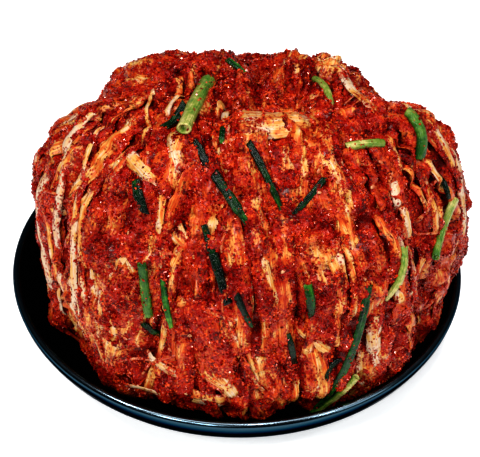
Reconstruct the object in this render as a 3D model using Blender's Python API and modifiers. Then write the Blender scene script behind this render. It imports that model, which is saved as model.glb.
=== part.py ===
"""Kimchi heaped in a round black dish: cabbage quarters packed round one heart, with cut green onion on them.

Units are metres and +Z is up. The origin is the middle of the dish's flat base, and the front is -Y.
Each quarter is a wedge of folded leaves, bent over the heap along an arc of latitude round the heart.
"""
import math

import bmesh
import bpy
from mathutils import Matrix, Vector
from mathutils.bvhtree import BVHTree

# ---- driving dimensions -------------------------------------------------------------------------
GAP = 0.0003                    # clearance between neighbouring pieces
FAR = 0.3                       # outside everything
CUT_GROW = 0.0010               # how far a cutter stands outside the quarter that it stands for

DISH_RADIUS = 0.160             # outside of the rolled lip
DISH_HEIGHT = 0.046
DISH_FLOOR = 0.0045             # thickness of the floor
DISH_FOOT_RADIUS = 0.117        # flat face that it rests on
LIP_RADIUS = 0.0032             # half of the lip's thickness
DISH_STEPS = 48
# the wall below the lip, as (radius, height): its outside from the collar down, its inside from the floor up
WALL_OUTSIDE = [(0.1588, 0.0375), (0.1535, 0.0275), (0.1400, 0.0135), (0.1255, 0.0035)]
WALL_INSIDE = [(0.1130, DISH_FLOOR), (0.1270, 0.0105), (0.1390, 0.0225), (0.1480, 0.0345)]

HEART = Vector((0.007, 0.0, 0.086))     # the point that all the quarters bend round
QUARTER_DEPTH = 0.046           # from a quarter's axis out to its leaves
HEART_CLEAR = 0.018             # how far from the heart its inner edge stops
QUARTER_RIDGES = 5              # folds of leaf round a quarter
RIDGE_HEIGHT = 0.05             # of the depth
STEM_WIDER = 0.11               # how much wider the lower, stem end is than the middle
SECTION_SQUARE = 2.3            # how square the section is: 2 is round
WEDGE_NARROWING = 0.55          # how much narrower the inner edge is than the middle
LEAF_END = 2.6                  # how square the upper end is: 2 is round, more is blunter
STEM_END = 4.5
QUARTER_AROUND = 20
QUARTER_ALONG = 12

ONION_STATIONS = 5              # rings along a piece of green onion, with its two ends
ONION_SIDES = 6
ONION_FLAT = 0.42               # thickness of a piece for its width
ONION_END = 4                   # how blunt its ends are
ONION_LIFT = 0.0003             # step by which a piece is raised until it lies clear

# azimuth (0 faces front, + to the right), lowest and highest latitude in degrees, reach and half width
# in metres, lean in degrees, and how far the quarter is laid to the side. A quarter is cut to fit round
# the ones before it, so the first ones lie on top.
QUARTERS = {
    "quarter_front": (-6, -58, 84, 0.143, 0.049, 2, 0),
    "quarter_front_left": (-48, -60, 74, 0.150, 0.054, -6, 0),
    "quarter_front_right": (36, -58, 74, 0.148, 0.052, 6, 0),
    "quarter_left": (-81, -47, 69, 0.151, 0.056, -8, 0),
    "quarter_right": (78, -50, 70, 0.151, 0.057, 8, 0),
    "quarter_crown_left": (0, 34, 148, 0.115, 0.060, -4, -0.036),
    "quarter_crown_right": (0, 34, 146, 0.113, 0.050, 6, 0.042),
    "quarter_back": (172, -44, 50, 0.129, 0.052, 0, 0),
    "quarter_back_left": (-136, -42, 52, 0.137, 0.054, -4, 0),
    "quarter_back_right": (127, -44, 42, 0.136, 0.052, 2, 0),
}

# Pieces of green onion lying on the heap: azimuth and latitude of one end, of the other end, and width.
# The first few of each group are the ones in front, and the last of them lie round the back.
ONION_STEMS = [
    (-96, 76, -33, 58, 0.0125), (106, 68, 70, 63, 0.0070), (44, 52, 58, 47, 0.0070),
    (76, 47, 68, 37, 0.0095), (72, 21, 57, 13, 0.0080), (44, 24, 38, 11, 0.0065),
    (28, -8, 20, -28, 0.0070), (-29, 24, -27, 8, 0.0085), (150, 38, 143, 18, 0.0100),
    (-112, 33, -119, 12, 0.0080), (172, 26, 165, 4, 0.0085), (112, 18, 106, -5, 0.0075),
]
ONION_LEAVES = [
    (-52, 66, -45, 57, 0.0080), (-146, 76, -166, 82, 0.0080), (-1, 59, 11, 42, 0.0065),
    (15, 40, 28, 47, 0.0060), (-14, 50, -1, 39, 0.0090), (-27, 57, -18, 52, 0.0080),
    (-14, 37, -5, 18, 0.0080), (-38, 42, -32, 36, 0.0095), (-24, 20, -20, 7, 0.0060),
    (-28, 5, -25, 0, 0.0080), (32, 18, 20, -22, 0.0080), (20, -6, 25, -3, 0.0060),
    (11, 7, 13, -4, 0.0060), (16, 22, 17, 12, 0.0080), (71, 29, 69, 23, 0.0070),
    (-3, 21, 1, 13, 0.0070), (-16, 63, -14, 58, 0.0050), (-148, 28, -141, 6, 0.0085),
    (-170, 28, -178, 12, 0.0075), (147, 10, 140, -12, 0.0080), (-130, 0, -137, -20, 0.0070),
    (113, 36, 106, 22, 0.0080),
]

# ---- colours: base colour, roughness ------------------------------------------------------------
COLOURS = {
    "dish": ((0.006, 0.010, 0.014), 0.12),
    "quarter": ((0.30, 0.02, 0.01), 0.35),
    "onion": ((0.05, 0.16, 0.03), 0.40),
}


def clear_scene():
    """Remove what the file starts with."""
    for obj in list(bpy.data.objects):
        bpy.data.objects.remove(obj, do_unlink=True)


def material(name, kind):
    """A plain Principled material in the colour of one kind of piece."""
    colour, roughness = COLOURS[kind]
    mat = bpy.data.materials.new(name)
    mat.use_nodes = True
    shader = mat.node_tree.nodes["Principled BSDF"]
    shader.inputs["Base Color"].default_value = (*colour, 1.0)
    shader.inputs["Roughness"].default_value = roughness
    shader.inputs["Metallic"].default_value = 0.0
    mat.diffuse_color = (*colour, 1.0)
    return mat


def add_object(name, mesh, kind, collection):
    """Put a mesh into the scene as one named piece with its own material."""
    obj = bpy.data.objects.new(name, mesh)
    collection.objects.link(obj)
    if kind:
        mesh.materials.append(material(name, kind))
        mesh.shade_smooth()
    else:
        obj.hide_render = True
        obj.display_type = "WIRE"
    return obj


# ---- turned shapes ------------------------------------------------------------------------------
def turned(name, profile, steps, kind, collection):
    """Turn a profile of (radius, height) points round the Z axis with a Screw modifier."""
    mesh = bpy.data.meshes.new(name)
    edges = [(i, i + 1) for i in range(len(profile) - 1)]
    mesh.from_pydata([(r, 0.0, z) for r, z in profile], edges, [])
    obj = add_object(name, mesh, kind, collection)
    screw = obj.modifiers.new("turn", "SCREW")
    screw.axis = "Z"
    screw.steps = steps
    screw.render_steps = steps
    screw.use_merge_vertices = True
    screw.merge_threshold = 0.00005
    screw.use_smooth_shade = True
    return obj


def lip_arc(first, last, count, grow=0.0):
    """Points round the lip, from one angle to another in degrees, 0 pointing outwards and 90 up."""
    centre_r = DISH_RADIUS - LIP_RADIUS
    centre_z = DISH_HEIGHT - LIP_RADIUS
    points = []
    for i in range(count):
        turn = math.radians(first + (last - first) * i / (count - 1))
        reach = LIP_RADIUS + grow
        points.append((centre_r + reach * math.cos(turn), centre_z + reach * math.sin(turn)))
    return points


def make_dish(collection):
    """A shallow round dish with a rolled lip, a short collar and a flat base, all one wall."""
    inside = [(0.0, DISH_FLOOR)] + WALL_INSIDE
    lip = lip_arc(180, 0, 5)
    foot = [(DISH_FOOT_RADIUS, 0.0), (0.0, 0.0)]
    return turned("dish", inside + lip + WALL_OUTSIDE + foot, DISH_STEPS, "dish", collection)


def make_room(collection):
    """The space that the heap may fill: the inside of the dish and everything over it, less a gap."""
    inside = [(0.0, DISH_FLOOR + GAP)]
    inside += [(radius - 2 * GAP, height + 2 * GAP) for radius, height in WALL_INSIDE]
    over_lip = lip_arc(180, 90, 3, 3 * GAP)
    out = [(FAR, DISH_HEIGHT + 3 * GAP), (FAR, FAR), (0.0, FAR)]
    profile = list(reversed(inside + over_lip + out))
    return turned("room", profile, DISH_STEPS, None, collection)


# ---- cabbage quarters ---------------------------------------------------------------------------
def power(value, exponent):
    """A signed power, for the rounded square section."""
    return math.copysign(abs(value) ** exponent, value)


def quarter_point(unit, azimuth, low, high, reach, half_width, lean, side):
    """Carry a point of the unit sphere to the quarter.

    The sphere's Z runs along the arc of latitude. Round the arc the section is a rounded square whose
    outer half is folded into ridges, and whose inner half narrows to a wedge towards the heart.
    """
    turn = math.radians(azimuth)
    outward = Vector((math.sin(turn), -math.cos(turn), 0.0))
    across = Vector((math.cos(turn), math.sin(turn), 0.0))
    along = max(-1.0, min(1.0, unit.z))
    end = LEAF_END if along > 0.0 else STEM_END
    blunt = (1.0 - abs(along) ** end) ** (1 / end)
    angle = math.atan2(unit.y, unit.x)
    wide = power(math.cos(angle), 2 / SECTION_SQUARE)
    deep = power(math.sin(angle), 2 / SECTION_SQUARE)
    axis = reach - QUARTER_DEPTH
    wedge = 1.0 - WEDGE_NARROWING * max(0.0, -deep)
    sideways = half_width * (1.0 - STEM_WIDER * along) * blunt * wide * wedge
    if deep > 0.0:
        ridge = 1.0 + RIDGE_HEIGHT * math.cos(QUARTER_RIDGES * angle)
        out = QUARTER_DEPTH * blunt * deep * ridge
    else:
        out = (axis - HEART_CLEAR) * blunt * deep
    middle = math.radians((low + high) / 2)
    latitude = middle + math.radians((high - low) / 2) * along
    ray = outward * math.cos(latitude) + Vector((0, 0, math.sin(latitude)))
    point = ray * (axis + out) + across * (sideways + side)
    normal = outward * math.cos(middle) + Vector((0, 0, math.sin(middle)))
    return HEART + Matrix.Rotation(math.radians(lean), 3, normal) @ point


def quarter_mesh(name, sizes, grow=0.0):
    """A quarter as a closed mesh, or its cutter where grow pushes every point out along its normal."""
    form = bmesh.new()
    bmesh.ops.create_uvsphere(form, u_segments=QUARTER_AROUND, v_segments=QUARTER_ALONG, radius=1.0)
    for vert in form.verts:
        vert.co = quarter_point(vert.co, *sizes)
    bmesh.ops.reverse_faces(form, faces=form.faces)     # the mapping above mirrors the sphere
    form.normal_update()
    pushed = [vert.co + vert.normal * grow for vert in form.verts]
    for vert, place in zip(form.verts, pushed):
        vert.co = place
    mesh = bpy.data.meshes.new(name)
    form.to_mesh(mesh)
    form.free()
    return mesh


def boolean(obj, operation, other):
    """Cut or keep one piece by another. The quarters cross at such flat angles that EXACT loses some."""
    cut = obj.modifiers.new(other.name, "BOOLEAN")
    cut.operation = operation
    cut.solver = "MANIFOLD"
    cut.object = other


def bodies_of(form):
    """The separate bodies of a bmesh, each a list of faces that join across their edges."""
    left = set(form.faces)
    bodies = []
    while left:
        growing = [left.pop()]
        body = []
        while growing:
            face = growing.pop()
            body.append(face)
            near = {other for edge in face.edges for other in edge.link_faces} & left
            left -= near
            growing.extend(near)
        bodies.append(body)
    return bodies


def settle(obj):
    """Apply a quarter's cuts, and drop the hair-thin slivers that they leave beside its one body."""
    evaluated = obj.evaluated_get(bpy.context.evaluated_depsgraph_get())
    mesh = bpy.data.meshes.new_from_object(evaluated)
    obj.modifiers.clear()
    form = bmesh.new()
    form.from_mesh(mesh)
    slivers = sorted(bodies_of(form), key=len)[:-1]
    bmesh.ops.delete(form, geom=[face for body in slivers for face in body], context="FACES")
    form.to_mesh(mesh)
    form.free()
    obj.data = mesh


def make_quarters(parts, cutters, room):
    """Make every quarter, each cut to fit round those before it and inside the dish."""
    placed = []
    quarters = []
    for name, sizes in QUARTERS.items():
        quarter = add_object(name, quarter_mesh(name, sizes), "quarter", parts)
        for cutter in placed:
            boolean(quarter, "DIFFERENCE", cutter)
        boolean(quarter, "INTERSECT", room)
        cut_name = name + "_cutter"
        placed.append(add_object(cut_name, quarter_mesh(cut_name, sizes, CUT_GROW), None, cutters))
        quarters.append(quarter)
    bpy.context.view_layer.update()
    for quarter in quarters:
        settle(quarter)
    return quarters


# ---- green onion --------------------------------------------------------------------------------
def direction(azimuth, latitude):
    """The way from the heart to a place on the heap."""
    turn = math.radians(azimuth)
    rise = math.radians(latitude)
    level = Vector((math.sin(turn), -math.cos(turn), 0.0))
    return level * math.cos(rise) + Vector((0, 0, math.sin(rise)))


def surface_reach(ray, trees):
    """How far from the heart the heap's surface lies in one direction."""
    hits = [tree.ray_cast(HEART + ray * FAR, -ray) for tree in trees]
    return max(FAR - hit[3] for hit in hits if hit[0])


def onion_form(start, end, width, lift, trees, grow=0.0):
    """A flattened piece with blunt ends, laid along the heap between two directions from the heart.

    The unit sphere's Z runs along the piece, its X across it and its Y away from the heap.
    """
    form = bmesh.new()
    bmesh.ops.create_uvsphere(form, u_segments=ONION_SIDES, v_segments=ONION_STATIONS, radius=1.0)
    half = width / 2 + grow
    thick = width * ONION_FLAT / 2 + grow
    stations = {}
    for vert in form.verts:
        along = round(max(-1.0, min(1.0, vert.co.z)), 4)
        if along not in stations:
            ray = start.slerp(end, (1 + along) / 2)
            stations[along] = (ray, surface_reach(ray, trees))
        ray, reach = stations[along]
        forward = (end - start).normalized()
        across = ray.cross(forward).normalized()
        blunt = (1.0 - abs(along) ** ONION_END) ** (1 / ONION_END)
        angle = math.atan2(vert.co.y, vert.co.x)
        side = across * (half * blunt * math.cos(angle))
        rise = reach + lift + thick * blunt * math.sin(angle)
        vert.co = HEART + ray * rise + side + forward * (along * grow)
    form.normal_update()
    return form


def make_onion(name, place, trees, collection):
    """One piece of green onion, raised in small steps until it is clear of the heap and other pieces."""
    azimuth, latitude, end_azimuth, end_latitude, width = place
    start = direction(azimuth, latitude)
    end = direction(end_azimuth, end_latitude)
    lift = width * ONION_FLAT / 2
    quarters = trees["quarters"]
    touching = True
    while touching:
        lift += ONION_LIFT
        grown = onion_form(start, end, width, lift, quarters, GAP)
        test = BVHTree.FromBMesh(grown)
        grown.free()
        touching = any(test.overlap(tree) for tree in quarters + trees["onions"])
    form = onion_form(start, end, width, lift, quarters)
    trees["onions"].append(BVHTree.FromBMesh(form))
    mesh = bpy.data.meshes.new(name)
    form.to_mesh(mesh)
    form.free()
    return add_object(name, mesh, "onion", collection)


def make_onions(quarters, collection):
    """Lay every piece of green onion on the finished heap."""
    trees = {"quarters": [], "onions": []}
    for quarter in quarters:
        form = bmesh.new()
        form.from_mesh(quarter.data)
        trees["quarters"].append(BVHTree.FromBMesh(form))
        form.free()
    for kind, places in (("onion_stem", ONION_STEMS), ("onion_leaf", ONION_LEAVES)):
        for number, place in enumerate(places, 1):
            make_onion(f"{kind}_{number:02d}", place, trees, collection)


def main():
    """Build the dish and the heap."""
    clear_scene()
    scene = bpy.context.scene.collection
    parts = bpy.data.collections.new("kimchi_dish")
    cutters = bpy.data.collections.new("cutters")
    scene.children.link(parts)
    scene.children.link(cutters)
    make_dish(parts)
    room = make_room(cutters)
    quarters = make_quarters(parts, cutters, room)
    make_onions(quarters, parts)


main()
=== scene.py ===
"""Looks of a round dark dish heaped with whole-cabbage kimchi: a core of chilli paste, cabbage leaves and
stems laid over it, cut green onion, radish shreds, garlic, chilli seeds and loose chilli flakes."""

import math

import bpy
import numpy as np
from mathutils import Matrix


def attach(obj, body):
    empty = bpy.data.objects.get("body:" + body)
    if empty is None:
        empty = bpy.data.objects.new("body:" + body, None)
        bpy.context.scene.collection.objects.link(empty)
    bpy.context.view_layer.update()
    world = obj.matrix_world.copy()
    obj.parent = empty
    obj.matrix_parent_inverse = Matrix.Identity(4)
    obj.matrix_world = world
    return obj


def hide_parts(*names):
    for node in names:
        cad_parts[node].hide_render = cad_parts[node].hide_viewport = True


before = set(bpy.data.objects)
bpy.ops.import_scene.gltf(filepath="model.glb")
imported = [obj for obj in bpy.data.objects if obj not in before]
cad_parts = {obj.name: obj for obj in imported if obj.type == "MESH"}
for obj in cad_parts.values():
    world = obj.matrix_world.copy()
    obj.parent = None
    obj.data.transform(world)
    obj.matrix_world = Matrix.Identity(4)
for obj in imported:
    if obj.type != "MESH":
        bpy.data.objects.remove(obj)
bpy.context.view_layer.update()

MM = 0.001
RIGHT_ANGLE = math.pi / 2

# Where the heap's rays start, and the inside of the dish, as in the solid model.
HEART = np.array([0.007, 0.0, 0.086])
DISH_RIM_HEIGHT = 0.046
DISH_FLOOR = 0.0045
DISH_FOOT_RADIUS = 0.117
LIP_CENTRE = (0.1568, 0.0428)
LIP_RADIUS = 0.0032
WALL_OUTSIDE = [(0.1588, 0.0375), (0.1535, 0.0275), (0.1400, 0.0135), (0.1255, 0.0035)]
WALL_INSIDE = [(0.1130, 0.0045), (0.1270, 0.0105), (0.1390, 0.0225), (0.1480, 0.0345)]

QUARTERS = sorted(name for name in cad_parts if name.startswith("quarter_"))
ONION_NODES = sorted(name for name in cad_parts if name.startswith("onion_"))


# ---------------------------------------------------------------- shader maths

class Flow:
    """A shader value. Arithmetic on it adds Math nodes to its material."""

    def __init__(self, finish, socket):
        self.finish = finish
        self.socket = socket

    def math(self, operation, *values):
        return self.finish.node("Math", {"operation": operation}, dict(enumerate(values)))

    def __add__(self, other):
        return self.math("ADD", self, other)

    def __sub__(self, other):
        return self.math("SUBTRACT", self, other)

    def __rsub__(self, other):
        return self.math("SUBTRACT", other, self)

    def __mul__(self, other):
        return self.math("MULTIPLY", self, other)

    __radd__ = __add__
    __rmul__ = __mul__


class Finish:
    """A procedural material round one Principled shader."""

    def __init__(self, name, constants):
        self.material = bpy.data.materials.new(name)
        self.material.use_nodes = True
        self.tree = self.material.node_tree
        self.shader = next(n for n in self.tree.nodes if n.type == "BSDF_PRINCIPLED")
        for socket, value in constants.items():
            self.shader.inputs[socket].default_value = value

    def node(self, kind, settings, sockets, output=0):
        """Adds a node: its settings, with a ramp's stops among them, then its sockets' values or links."""
        node = self.tree.nodes.new("ShaderNode" + kind)
        for setting, value in settings.items():
            if setting == "stops":
                elements = node.color_ramp.elements
                elements[0].position, elements[1].position = value[0][0], value[-1][0]
                middle = [elements.new(place) for place, _ in value[1:-1]]
                for element, (_, colour) in zip([elements[0], *middle, elements[-1]], value):
                    element.color = (*colour, 1)
            else:
                setattr(node, setting, value)
        for socket, value in sockets.items():
            if isinstance(value, Flow):
                self.tree.links.new(value.socket, node.inputs[socket])
            else:
                node.inputs[socket].default_value = value
        return Flow(self, node.outputs[output])

    def set(self, socket, value):
        """Drives one of the shader's own sockets."""
        self.tree.links.new(value.socket, self.shader.inputs[socket])

    def place(self, stretch=(1, 1, 1)):
        """Object coordinates, squeezed by stretch along each axis."""
        co = self.node("TexCoord", {}, {}, "Object")
        return self.node("Mapping", {"vector_type": "POINT"}, {"Vector": co, "Scale": stretch})

    def sheet(self, stretch=(1, 1, 1)):
        """The piece's own coordinates: metres across it, then metres along it."""
        co = self.node("UVMap", {"uv_map": "lay"}, {})
        return self.node("Mapping", {"vector_type": "POINT"}, {"Vector": co, "Scale": stretch})

    def stored(self, name):
        """A value kept at the piece's points."""
        return self.node("Attribute", {"attribute_name": name}, {}, "Fac")

    def noise(self, where, size, detail=2.0, roughness=0.5):
        """Cloudy noise round 0.5, with lumps of the given size."""
        sockets = {"Vector": where, "Scale": 1 / size, "Detail": detail, "Roughness": roughness}
        return self.node("TexNoise", {}, sockets, "Fac")

    def grains(self, where, size, output="Distance"):
        """Cells of the given size: the distance to a cell's middle, or its random colour."""
        sockets = {"Vector": where, "Scale": 1 / size}
        return self.node("TexVoronoi", {"feature": "F1"}, sockets, output)

    def ramp(self, value, *stops):
        """A colour by the value, from stops of a place from 0 to 1 and a colour."""
        return self.node("ValToRGB", {"stops": stops}, {"Fac": value}, "Color")

    def step(self, value, low, high):
        """0 below low, 1 above high, and a smooth rise between them."""
        sockets = {"Value": value, "From Min": low, "From Max": high}
        return self.node("MapRange", {"interpolation_type": "SMOOTHSTEP"}, sockets)

    def mix(self, factor, first, second):
        """The first colour at factor 0 and the second at 1."""
        colours = [c if isinstance(c, Flow) else (*c, 1) for c in (first, second)]
        sockets = {0: factor, 6: colours[0], 7: colours[1]}
        return self.node("Mix", {"data_type": "RGBA"}, sockets, 2)

    def bump(self, height, distance, strength=1.0, under=None):
        """A normal from a height from 0 to 1 that stands the distance in metres, over another bump."""
        sockets = {"Height": height, "Distance": distance, "Strength": strength}
        if under is not None:
            sockets["Normal"] = under
        return self.node("Bump", {}, sockets, "Normal")


# ---------------------------------------------------------------- shapes from arrays

def value_noise(points, size, seed):
    """Smooth noise from -1 to 1: a random value at each corner of cubes of the given size (one number, or
    one for each axis), blended across the cube by 3t2 - 2t3."""
    cell = points / np.asarray(size, float)
    base = np.floor(cell)
    t = cell - base
    t = t * t * (3 - 2 * t)
    base = base.astype(np.int64)
    total = np.zeros(points.shape[:-1])
    for corner in np.ndindex(2, 2, 2):
        key = base + corner
        mixed = key[..., 0] * 73856093 ^ key[..., 1] * 19349663 ^ key[..., 2] * 83492791 ^ seed * 2654435761
        mixed = (mixed ^ (mixed >> 13)) * 1274126177 & 0xFFFFFFFF
        mixed = (mixed ^ (mixed >> 15)) * 2246822519 & 0xFFFFFFFF
        value = (mixed ^ (mixed >> 16)) / 2**31 - 1
        total += value * np.prod(np.where(corner, t, 1 - t), axis=-1)
    return total


def smooth(value, low, high):
    """0 below low, 1 above high, and 3t2 - 2t3 between them."""
    t = np.clip((value - low) / (high - low), 0, 1)
    return t * t * (3 - 2 * t)


def rays(azimuth, latitude):
    """Unit rays from the heart. Azimuth turns from the front to the right, latitude rises from level."""
    azimuth, latitude = np.broadcast_arrays(azimuth, latitude)
    level = np.cos(latitude)
    return np.stack([np.sin(azimuth) * level, -np.cos(azimuth) * level, np.sin(latitude)], -1)


def angles(ray):
    """Azimuth and latitude of unit rays: the inverse of rays()."""
    return np.arctan2(ray[..., 0], -ray[..., 1]), np.arcsin(np.clip(ray[..., 2], -1, 1))


def unit(vectors):
    """Each vector over its own length."""
    return vectors / np.linalg.norm(vectors, axis=-1, keepdims=True)


class Reach:
    """How far a skin reaches from the heart, on a table of azimuth by latitude, read by blending the four
    nearest cells."""

    ACROSS, UP = 480, 240

    def __init__(self, table):
        self.table = table

    @classmethod
    def of_points(cls, points):
        """The farthest point in each cell. An empty cell takes the farthest of its neighbours."""
        arms = points - HEART
        far = np.linalg.norm(arms, axis=-1)
        azimuth, latitude = angles(arms / far[:, None])
        column = ((azimuth / (2 * math.pi) + 0.5) * cls.ACROSS).astype(int) % cls.ACROSS
        row = np.clip(((latitude / math.pi + 0.5) * cls.UP).astype(int), 0, cls.UP - 1)
        table = np.zeros((cls.UP, cls.ACROSS))
        np.maximum.at(table, (row, column), far)
        while (table == 0).any():
            near = np.maximum(np.roll(table, 1, 1), np.roll(table, -1, 1))
            padded = np.pad(table, ((1, 1), (0, 0)), mode="edge")
            near = np.maximum(near, np.maximum(padded[:-2], padded[2:]))
            table = np.where(table == 0, near, table)
        return cls(table)

    def softened(self, rounds):
        """Each cell averaged with its neighbours, a number of times."""
        table = self.table
        for _ in range(rounds):
            table = (np.roll(table, 1, 1) + 2 * table + np.roll(table, -1, 1)) / 4
            padded = np.pad(table, ((1, 1), (0, 0)), mode="edge")
            table = (padded[:-2] + 2 * table + padded[2:]) / 4
        return Reach(table)

    def at(self, ray):
        """The reach along unit rays."""
        azimuth, latitude = angles(ray)
        x = (azimuth / (2 * math.pi) + 0.5) * self.ACROSS - 0.5
        y = np.clip((latitude / math.pi + 0.5) * self.UP - 0.5, 0, self.UP - 1.001)
        left, low = np.floor(x).astype(int), np.floor(y).astype(int)
        x, y = x - left, y - low
        left, right = left % self.ACROSS, (left + 1) % self.ACROSS
        lower = self.table[low, left] * (1 - x) + self.table[low, right] * x
        upper = self.table[low + 1, left] * (1 - x) + self.table[low + 1, right] * x
        return lower * (1 - y) + upper * y


def keep_in_dish(points, clearance=1.2 * MM):
    """Points below the rim drawn in to the dish's inner wall, less the clearance, and up to its floor."""
    wall = np.array([(0.0, DISH_FLOOR)] + WALL_INSIDE + [(LIP_CENTRE[0] - LIP_RADIUS, LIP_CENTRE[1])])
    points = points.copy()
    points[..., 2] = np.maximum(points[..., 2], DISH_FLOOR + clearance)
    away = np.hypot(points[..., 0], points[..., 1])
    room = np.interp(points[..., 2], wall[1:, 1], wall[1:, 0]) - clearance
    room = np.where(points[..., 2] > DISH_RIM_HEIGHT, 1.0, room)
    shrink = np.where(away > room, room / np.maximum(away, 1e-6), 1)
    points[..., 0] *= shrink
    points[..., 1] *= shrink
    return points


def grid_faces(rows, columns):
    """Four-cornered faces of a grid of points whose columns close on themselves."""
    row = np.arange(rows - 1)[:, None]
    column = np.arange(columns)[None, :]
    following = (column + 1) % columns
    corners = [row * columns + column, row * columns + following,
               (row + 1) * columns + following, (row + 1) * columns + column]
    return np.stack(corners, -1).reshape(-1, 4)


def fan_faces(ring, tip, turn):
    """Three-cornered faces from each edge of a ring of points to a tip, the other way round without turn."""
    following = np.roll(ring, -1)
    corners = [ring, following, np.full_like(ring, tip)]
    return np.stack(corners if turn else [following, ring, corners[2]], -1)


def make_piece(name, points, faces, finish, stored=None, lay=None, flat=False):
    """A mesh piece from a point array and a list of face arrays, with stored values per point and the
    piece's own coordinates lay, riding on the object."""
    mesh = bpy.data.meshes.new(name)
    mesh.vertices.add(len(points))
    mesh.vertices.foreach_set("co", np.ascontiguousarray(points, np.float32).ravel())
    corners = np.concatenate([f.ravel() for f in faces]).astype(np.int32)
    sides = np.concatenate([np.full(len(f), f.shape[1]) for f in faces])
    mesh.loops.add(len(corners))
    mesh.loops.foreach_set("vertex_index", corners)
    mesh.polygons.add(len(sides))
    mesh.polygons.foreach_set("loop_start", np.concatenate([[0], np.cumsum(sides)[:-1]]).astype(np.int32))
    mesh.polygons.foreach_set("use_smooth", np.full(len(sides), not flat))
    mesh.update(calc_edges=True)
    for label, values in (stored or {}).items():
        attribute = mesh.attributes.new(label, "FLOAT", "POINT")
        attribute.data.foreach_set("value", np.ascontiguousarray(values, np.float32).ravel())
    if lay is not None:
        uv = mesh.uv_layers.new(name="lay")
        uv.data.foreach_set("uv", np.ascontiguousarray(lay.reshape(-1, 2)[corners], np.float32).ravel())
    mesh.materials.append(finish.material)
    piece = bpy.data.objects.new(name, mesh)
    bpy.context.scene.collection.objects.link(piece)
    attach(piece, "root")
    return piece


def triangles_of(points, faces):
    """Corner points of every face, with four-cornered faces cut in two."""
    quads = [f for f in faces if f.shape[1] == 4]
    tris = [f for f in faces if f.shape[1] == 3]
    cut = [q[:, [0, 1, 2]] for q in quads] + [q[:, [0, 2, 3]] for q in quads] + tris
    return points.reshape(-1, 3)[np.concatenate(cut)], np.concatenate(cut)


def spread_over(corners, spacing, seed):
    """Seeded points spread evenly over triangles: about one for each square of the spacing. Gives which
    triangle each is on, and its shares of the three corners."""
    rng = np.random.default_rng(seed)
    area = np.linalg.norm(np.cross(corners[:, 1] - corners[:, 0], corners[:, 2] - corners[:, 0]), axis=1) / 2
    count = rng.poisson(area / spacing**2)
    which = np.repeat(np.arange(len(corners)), count)
    a, b = rng.random((2, len(which)))
    over = a + b > 1
    a, b = np.where(over, 1 - a, a), np.where(over, 1 - b, b)
    return which, np.stack([1 - a - b, a, b], -1)


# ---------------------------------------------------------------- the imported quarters' reach

def packed_corners(name):
    """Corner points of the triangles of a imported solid."""
    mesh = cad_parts[name].data
    mesh.calc_loop_triangles()
    points = np.empty(len(mesh.vertices) * 3, np.float32)
    mesh.vertices.foreach_get("co", points)
    index = np.empty(len(mesh.loop_triangles) * 3, np.int32)
    mesh.loop_triangles.foreach_get("vertices", index)
    return points.reshape(-1, 3).astype(float)[index.reshape(-1, 3)]


# Swells and hollows of the heap: azimuth, latitude, how wide (degrees), how high (mm).
SWELLS = [
    # left shoulder
    (-92, 17, 7, 4.0), (-96, 5, 10, -3.0), (-77, 2, 11, -10.0), (-93, 38, 7, -7.0), (-118, 38, 9, 7.0),
    (-102, 50, 8, -5.0), (-78, 52, 9, -5.0), (-48, -14, 9, -9.0), (-64, -17, 5, 8.0), (-75, 24, 4, -3.0),
    (-115, 28, 6, -2.0),
    # right shoulder
    (88, 33, 8, 6.0), (94, 4, 10, -3.0), (101, 50, 7, -5.0), (92, 56, 7, -3.0), (91, 48, 5, -5.0),
    (131, 25, 8, -10.0), (70, -9, 9, -6.0), (120, 10, 7, -3.5),
    # skyline
    (-148, 57, 7, -3.0), (150, 66, 10, 2.0), (-140, 72, 8, -3.5), (172, 70, 7, -4.5), (130, 72, 6, 4.5),
    (178, 33, 7, -5.0), (160, 44, 5, 12.0), (138, 56, 7, -4.0), (84, 55, 5, -5.0), (4, 66, 9, 3.0),
    (-127, 38, 6, -4.0), (-108, 42, 4, 3.0), (172, 38, 5, -3.0),
    # front
    (-36, 42, 9, 2.5), (40, 50, 12, 1.5), (22, 10, 10, 2.0), (-20, -8, 12, 2.0), (-9, 28, 6, -4.0),
    (-6, 14, 5, -5.0), (-31, 36, 5, -4.0), (14, 40, 7, -1.5), (13, 12, 5, -4.5), (33, 33, 5, -3.0),
    (-56, 10, 5, -3.0), (-46, 24, 4, -3.0), (54, 22, 5, -3.5), (60, 2, 5, -3.5),
    # foot of the heap
    (-24, -14, 9, 9.5), (-25, -18, 6, 4.0), (-10, -15, 8, 4.5), (3, -14, 8, 8.0), (15, -13, 8, 10.0),
    (-38, -14, 7, 4.5), (44, -15, 9, 2.5), (17, -9, 6, 5.0), (60, -18, 7, 6.0), (-21, -14, 5, 3.5),
    (-81, -9, 7, -5.0), (-34, -24, 11, 5.0), (34, -24, 12, 5.0), (-4, -24, 12, 4.0),
    # behind
    (160, 20, 8, -3.5), (-150, 5, 7, -3.5), (180, -5, 8, 3.0), (-165, 45, 10, 2.5), (150, -18, 14, 4.0),
    (-150, -18, 14, 4.0),
]


def ring_mean(reach, ray, turn, steps=16):
    """Mean reach on a ring of rays, each turned from the given one by the same angle in degrees."""
    side = unit(np.cross(ray, [0.3, 1.0, 0.1]))
    other = np.cross(ray, side)
    total = 0
    for way in np.linspace(0, 2 * math.pi, steps, endpoint=False):
        lean = side * math.cos(way) + other * math.sin(way)
        total = total + reach.at(ray * math.cos(math.radians(turn)) + lean * math.sin(math.radians(turn)))
    return total / steps


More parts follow.
